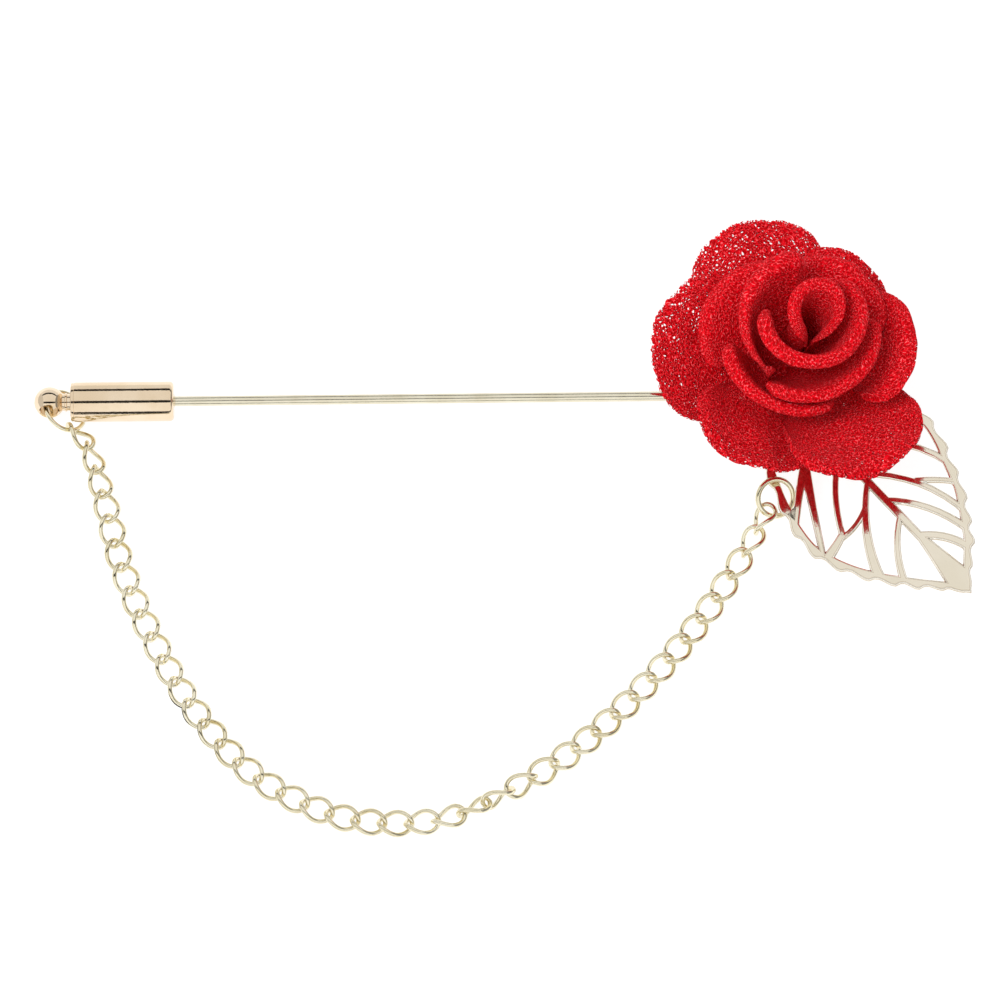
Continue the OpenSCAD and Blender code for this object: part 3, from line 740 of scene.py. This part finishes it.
# The finished cloth of each: the angle and length in millimetres of the rolled rim, how uneven the roll is
# from side to side, how open the weave is at the rim, and the depth of the dents in millimetres
RIMS = {
    # roll, length, uneven, open_weave, dent
    "petal_top":         ( 20, 1.0, 0.00, 1.00, 0.30),
    "petal_left":        ( 25, 1.0, 0.00, 1.00, 0.30),
    "petal_upper_right": ( 30, 1.2, 0.00, 0.70, 0.25),
    "petal_lower_left":  ( 30, 1.2, 0.00, 0.80, 0.30),
    "petal_lower_right": ( 30, 1.2, 0.00, 0.70, 0.30),
    "petal_right":       ( 80, 1.6, 0.00, 0.15, 0.20),
    "petal_mid_left":    ( 80, 1.6, 0.00, 0.00, 0.20),
    "petal_fold_front":  (170, 1.6, 0.00, 0.00, 0.12),
    "petal_mid_right":   ( 90, 1.6, 0.00, 0.00, 0.20),
    "petal_fold_right":  (170, 1.6, 0.00, 0.00, 0.12),
    "petal_wrap_outer":  (170, 1.7, 0.00, 0.00, 0.12),
    "petal_wrap_inner":  (170, 1.7, 0.00, 0.00, 0.10),
    "bud":               (150, 1.4, 0.30, 0.00, 0.06),
}
ACROSS = 150
ALONG = 56
CURVE_STEPS = 40
# Above 1, a petal's rows lie closer together towards its rim
RIM_ROWS = 1.35
# Without a seed of its own, the dents' noise starts from the clock and differs in each run
DENT_SEED = 3
noise.seed_set(DENT_SEED)


def curve_point(a, b, c, d, t):
    """A point of a petal's curve in radius and height, and its direction there."""
    u = 1 - t
    point = u ** 3 * a + 3 * u * u * t * b + 3 * u * t * t * c + t ** 3 * d
    way = (u * u * (b - a) + 2 * u * t * (c - b) + t * t * (d - c)).normalized()
    return point, way


def petal_curve(petal, rim, roll_r, s):
    """The curve of a petal at s across it, from the root to where the rim is rolled: (point, way, share)."""
    root = Vector((petal.root_r * ROSE_R, petal.root_z * ROSE_H))
    end = Vector((petal.reach * ROSE_R, petal.rise * ROSE_H))
    if rim.roll > FULL_ROLL:
        cosine, sine = direction(petal.rim_slope)
        end += roll_r * Vector((-sine, cosine))
    hand = HANDLE * (end - root).length
    first = root + hand * Vector(direction(petal.root_slope))
    second = end - hand * Vector(direction(petal.rim_slope))
    rounded = max(0.0, 1 - abs(s) ** petal.squareness) ** (1 / petal.squareness)
    top = petal.shoulder + (1 - petal.shoulder) * rounded
    shares = [top * i / CURVE_STEPS for i in range(CURVE_STEPS + 1)]
    samples = [(*curve_point(root, first, second, end, share), share) for share in shares]
    if petal.root_z > INNER_ROOT:
        inner = Vector((ROOT_IN, root.y))
    else:
        inner = Vector((OUTER_ROOT_IN, root.y - ROOT_DROP))
    return [(inner, (root - inner).normalized(), 0.0)] + samples


def petal_strip(petal, rim, s):
    """The strip of cloth at s across a petal: (point, way, share, run, run left), with the rim rolled."""
    roll_l = rim.length * (1 + rim.uneven * s) * mix(RIM_END, 1, smooth((1 - abs(s)) / RIM_TAPER))
    roll_r = roll_l / math.radians(rim.roll)
    samples = petal_curve(petal, rim, roll_r, s)
    runs = [0.0]
    for before, after in zip(samples, samples[1:]):
        runs.append(runs[-1] + (after[0] - before[0]).length)
    keep = runs[-1] if rim.roll > FULL_ROLL else max(0.0, runs[-1] - roll_l)
    total = keep + roll_l

    def at_run(run):
        i = 0
        while i < len(runs) - 2 and runs[i + 1] < run:
            i += 1
        f = (run - runs[i]) / max(1e-6, runs[i + 1] - runs[i])
        point, way, share = samples[i]
        next_point, next_way, next_share = samples[i + 1]
        return point.lerp(next_point, f), way.lerp(next_way, f).normalized(), mix(share, next_share, f)

    start, start_way, start_share = at_run(keep)
    angle = math.atan2(start_way.y, start_way.x)
    strip = []
    for j in range(ALONG + 1):
        run = total * (1 - (1 - j / ALONG) ** RIM_ROWS)
        if run <= keep:
            point, way, share = at_run(run)
        else:
            turn = (run - keep) / roll_r
            point = start + roll_r * Vector((math.sin(angle) - math.sin(angle - turn),
                                             math.cos(angle - turn) - math.cos(angle)))
            way = Vector((math.cos(angle - turn), math.sin(angle - turn)))
            share = start_share
        strip.append((point, way, share, run, total - run))
    return strip


def cloth_place(petal, rim, s, point, way, share):
    """Where a point of the strip lies, tucked, tilted, waved, leant with the rose and dented."""
    out = PETAL_WALL * (petal.tuck * s + petal.lift * s * s) * smooth(share / TUCK_GROWS)
    ripple = petal.wave * ROSE_H * share * share * (1 - s * s) * math.sin(math.pi * petal.waves * s)
    radius = point.x - way.y * out
    height = point.y + way.x * out + petal.tilt * ROSE_H * s * share + ripple
    wide = mix(ROOT_WIDTH, 1, smooth((share - ROOT_NARROW) / ROOT_WIDENS)) if petal.half < WRAP_HALF else 1
    cosine, sine = direction(petal.azimuth + s * petal.half * wide)
    here = Vector((radius * cosine + LEAN_X * height, radius * sine + LEAN_Y * height, height))
    dents = noise.noise_vector(here * DENT_COARSE + Vector((petal.azimuth, 0, 0))) * rim.dent
    dents += noise.noise_vector(here * DENT_FINE + Vector((0, petal.azimuth, 0))) * rim.dent * DENT_FINE_DEPTH
    return here + dents * smooth(share / DENT_GROWS) + ROSE_MIDDLE


def runs_across(places):
    """Length of cloth from the petal's middle line to each point, along its row."""
    middle = len(places) // 2
    across = [[0.0] * (ALONG + 1) for column in places]
    for step, columns in ((1, range(middle + 1, len(places))), (-1, range(middle - 1, -1, -1))):
        for i in columns:
            for j in range(ALONG + 1):
                across[i][j] = across[i - step][j] + step * (places[i][j] - places[i - step][j]).length
    return across


def add_petal(name, petal, rim, material):
    bm = bmesh.new()
    bmesh.ops.create_grid(bm, x_segments=ACROSS, y_segments=ALONG, size=1)
    uv_layer = bm.loops.layers.uv.new("cloth")
    open_layer = bm.verts.layers.float.new("open_weave")
    columns = {}
    for vert in bm.verts:
        columns.setdefault(round(vert.co.x * 1e4), []).append(vert)
    keys = sorted(columns)
    verts = [sorted(columns[key], key=lambda vert: vert.co.y) for key in keys]
    # The columns lie closer together towards the petal's sides
    sides = [math.sin(math.pi / 2 * key / 1e4) for key in keys]
    strips = [petal_strip(petal, rim, s) for s in sides]
    places = [[cloth_place(petal, rim, s, *spot[:3]) for spot in strip] for s, strip in zip(sides, strips)]
    across = runs_across(places)
    cloth_at = {}
    for i, column in enumerate(verts):
        for j, vert in enumerate(column):
            run, left = strips[i][j][3:]
            cloth_at[vert] = (across[i][j], run)
            to_side = min(across[i][j] - across[0][j], across[-1][j] - across[i][j])
            to_rim = min(left, to_side) if j > ALONG * FREE_SIDES else left
            fray = smooth(1 - to_rim / FRAY_W)
            open_weave = rim.open_weave * smooth(OPEN_START - to_rim / OPEN_W)
            vert[open_layer] = open_weave + FRAY_OPENS * fray * fray
            vert.co = placed(places[i][j])
    for face in bm.faces:
        for loop in face.loops:
            u, v = cloth_at[loop.vert]
            loop[uv_layer].uv = (0.5 + u / CLOTH_UV, v / CLOTH_UV)
    area = sum(face.calc_area() for face in bm.faces)
    bmesh.ops.recalc_face_normals(bm, faces=bm.faces)
    obj = finished("crepe_" + name, bm, material)
    wall = obj.modifiers.new("cloth thickness", "SOLIDIFY")
    wall.thickness = CLOTH * MM
    wall.offset = 0
    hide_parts(name)


# Chain

LINK_L = 3.8
LINK_W = 2.8
LINK_WIRE = 0.48
LINK_TWIST = 46
LINK_SLACK = 0.18
CHAIN_ROUTE = [
    (-69.6, -4.2), (-68.0, -9.2), (-65.9, -17.2), (-62.8, -24.6), (-58.9, -31.6),
    (-53.8, -37.8), (-48.4, -41.4), (-42.2, -43.5), (-34.2, -43.4), (-27.0, -40.3),
    (-20.4, -35.7), (-14.5, -30.1), (-9.2, -23.9), (-4.5, -17.1),
]
# How a ring holds its end of the chain: direction round the ring, roll of the held link, number of links
# that share the roll, slack, rise over the ring's wire, and the length over which the chain is lifted
End = namedtuple("End", "at roll rolled slack rise lifted")
CLUTCH_END = End(-92, -54, 5.0, 0.12, -0.18, 7)
LEAF_END = End(-70, -48.5, 3.3, 0.41, -0.05, 14)
# The chain makes a half turn about this share of its links, over this number of them
FLIP_AT = 0.62
FLIP_LINKS = 8
# Lowest link's height over the table
UNDER_GAP = 0.075
ROUTE_STEPS = 12
LINK_SIDES = 44
WIRE_SIDES = 12
# Points round a link and its wire that tell how high it stands
SAMPLE_SIDES = 26


def link_middle(t):
    """The middle of a link's wire at t degrees round it."""
    cosine, sine = direction(t)
    twist_y, twist_z = direction(LINK_TWIST * cosine)
    a = (LINK_L - LINK_WIRE) / 2
    b = (LINK_W - LINK_WIRE) / 2
    return Vector((a * cosine, b * sine * twist_y, b * sine * twist_z))


def link_skin(t, w):
    """A point of a link's wire, at t degrees round the link and w degrees round the wire."""
    way = (link_middle(t + 1) - link_middle(t - 1)).normalized()
    cosine, sine = direction(LINK_TWIST * direction(t)[0])
    over = Vector((0, -sine, cosine))
    side = way.cross(over).normalized()
    up = side.cross(way)
    c, s = direction(w)
    return link_middle(t) + LINK_WIRE / 2 * (c * side + s * up)


link_points = [link_skin(360 * i / SAMPLE_SIDES, 360 * j / WIRE_SIDES)
               for i in range(SAMPLE_SIDES) for j in range(WIRE_SIDES)]


def half_height(roll):
    """How far a link rolled this much reaches up or down from its middle."""
    cosine, sine = direction(roll)
    return max(abs(p.y * sine + p.z * cosine) for p in link_points)


def through(a, b, c, d, t):
    """Curve through four points, from the second at t 0 to the third at t 1."""
    return b + 0.5 * t * (c - a + t * (2 * a - 5 * b + 4 * c - d + t * (3 * (b - c) + d - a)))


def chain_line(start, end):
    """The chain's route in plan, as points with the run to each."""
    knots = [start] + [Vector(point) for point in CHAIN_ROUTE] + [end]
    line = []
    for i in range((len(knots) - 1) * ROUTE_STEPS + 1):
        n = min(i // ROUTE_STEPS, len(knots) - 2)
        four = [knots[min(len(knots) - 1, max(0, n + k))] for k in (-1, 0, 1, 2)]
        line.append(through(*four, i / ROUTE_STEPS - n))
    runs = [0.0]
    for before, after in zip(line, line[1:]):
        runs.append(runs[-1] + (after - before).length)
    return line, runs


def add_chain(clutch_hook, leaf_hook, material):
    line, runs = chain_line(clutch_hook.to_2d(), leaf_hook.to_2d())
    route_l = runs[-1]

    def route_at(x):
        x = max(0.0, min(route_l, x))
        i = 0
        while i < len(runs) - 2 and runs[i + 1] < x:
            i += 1
        return line[i].lerp(line[i + 1], (x - runs[i]) / (runs[i + 1] - runs[i]))

    def hold(wire, slack):
        return LINK_L / 2 - LINK_WIRE - wire / 2 - LINK_SLACK / 2 - slack

    first_x = hold(CLUTCH_RING_WIRE, CLUTCH_END.slack)
    last_x = route_l - hold(LEAF_RING_WIRE, LEAF_END.slack)
    links = 1 + math.ceil((last_x - first_x) / (LINK_L - 2 * LINK_WIRE - LINK_SLACK))
    pitch = (last_x - first_x) / (links - 1)

    def link_roll(k):
        return (-180 * smooth((k + 0.5 - FLIP_AT * links) / FLIP_LINKS + 0.5)
                + CLUTCH_END.roll * (1 - smooth(k / CLUTCH_END.rolled))
                + LEAF_END.roll * (1 - smooth((links - 1 - k) / LEAF_END.rolled)))

    def link_height(k):
        x = first_x + k * pitch
        flat = half_height(0)
        lifted = (flat + (clutch_hook.z + CLUTCH_END.rise - flat) * (1 - smooth(x / CLUTCH_END.lifted))
                  + (leaf_hook.z + LEAF_END.rise - flat) * (1 - smooth((route_l - x) / LEAF_END.lifted)))
        return UNDER_GAP + max(half_height(link_roll(k)), lifted)

    bm = bmesh.new()
    for k in range(links):
        x = first_x + k * pitch
        heading = route_at(x + pitch / 2) - route_at(x - pitch / 2)
        climb = math.atan((link_height(k + 0.5) - link_height(k - 0.5)) / pitch)
        middle = route_at(x).to_3d()
        middle.z = link_height(k)
        turn = (Matrix.Translation(middle) @ Matrix.Rotation(math.atan2(heading.y, heading.x), 4, "Z")
                @ Matrix.Rotation(-climb, 4, "Y") @ turned(link_roll(k), "X"))
        made = bmesh.ops.create_grid(bm, x_segments=LINK_SIDES, y_segments=WIRE_SIDES, size=1)
        for vert in made["verts"]:
            t = 180 * (vert.co.x + 1)
            w = 180 * (vert.co.y + 1)
            vert.co = placed(turn @ link_skin(t, w))
    bmesh.ops.remove_doubles(bm, verts=bm.verts, dist=MERGE / 2 * MM)
    bmesh.ops.recalc_face_normals(bm, faces=bm.faces)
    obj = finished("curb_chain", bm, material)
    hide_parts("chain")


# The whole

plating = plating_group()
crepe = crepe_group()
gold = polished("light_gold_plate", (0.80, 0.75, 0.60), (0.72, 0.66, 0.50), plating, 0.10, 0.4)
rose_gold = polished("champagne_plate", (0.86, 0.71, 0.53), (0.78, 0.62, 0.43), plating, 0.07, 0.3)
leaf_gold = polished("leaf_plate", (0.83, 0.76, 0.63), (0.79, 0.72, 0.58), plating, 0.09, 0.5)
# Painted highlight for the leaf's rounded edges, and painted shade for their downward sides and the thin line
# along them
leaf_edge_highlight = polished("leaf_edge_highlight", (1.0, 0.95, 0.84), (0.97, 0.91, 0.79), plating, 0.12, 0.3)
leaf_edge_shade = polished("leaf_edge_shade", (0.62, 0.51, 0.38), (0.54, 0.43, 0.31), plating, 0.20, 0.3)
link_gold = polished("link_plate", (0.88, 0.82, 0.63), (0.78, 0.70, 0.48), plating, 0.12, 0.4)
red = red_crepe("red_crepe", crepe)

add_camera()
add_studio()
add_stick_pin(gold)
add_clutch(rose_gold)
clutch_ring_middle = Vector((BALL_X, 0, shaft_z)) + CLUTCH_RING_D / 2 * CLUTCH_RING_STEP
clutch_turn = (Matrix.Translation(clutch_ring_middle)
               @ turned(CLUTCH_RING_TURN, "Z") @ turned(CLUTCH_RING_TILT, "Y"))
wire_ring("clutch_ring_wire", CLUTCH_RING_D, CLUTCH_RING_WIRE, clutch_turn, link_gold, "clutch_ring")
leaf_ring_low, leaf_ring_high = (Vector(corner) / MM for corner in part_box("leaf_ring"))
leaf_ring_middle = (leaf_ring_low + leaf_ring_high) / 2 - plate
leaf_ring_turn = (Matrix.Translation(leaf_ring_middle)
                  @ turned(-LEAF_RISE, "Y") @ turned(LEAF_TURN, "Z") @ turned(LEAF_RING_TILT, "Y"))
wire_ring("leaf_ring_wire", LEAF_RING_D, LEAF_RING_WIRE, leaf_ring_turn, link_gold, "leaf_ring")
add_leaf(leaf_gold, leaf_edge_highlight, leaf_edge_shade)
for petal_name, petal_row in PETALS.items():
    add_petal(petal_name, Petal(*petal_row), Rim(*RIMS[petal_name]), red)
clutch_hook_at = on_ring(clutch_turn, CLUTCH_RING_D, CLUTCH_END.at)
leaf_hook_at = on_ring(leaf_ring_turn, LEAF_RING_D, LEAF_END.at)
add_chain(clutch_hook_at, leaf_hook_at, link_gold)
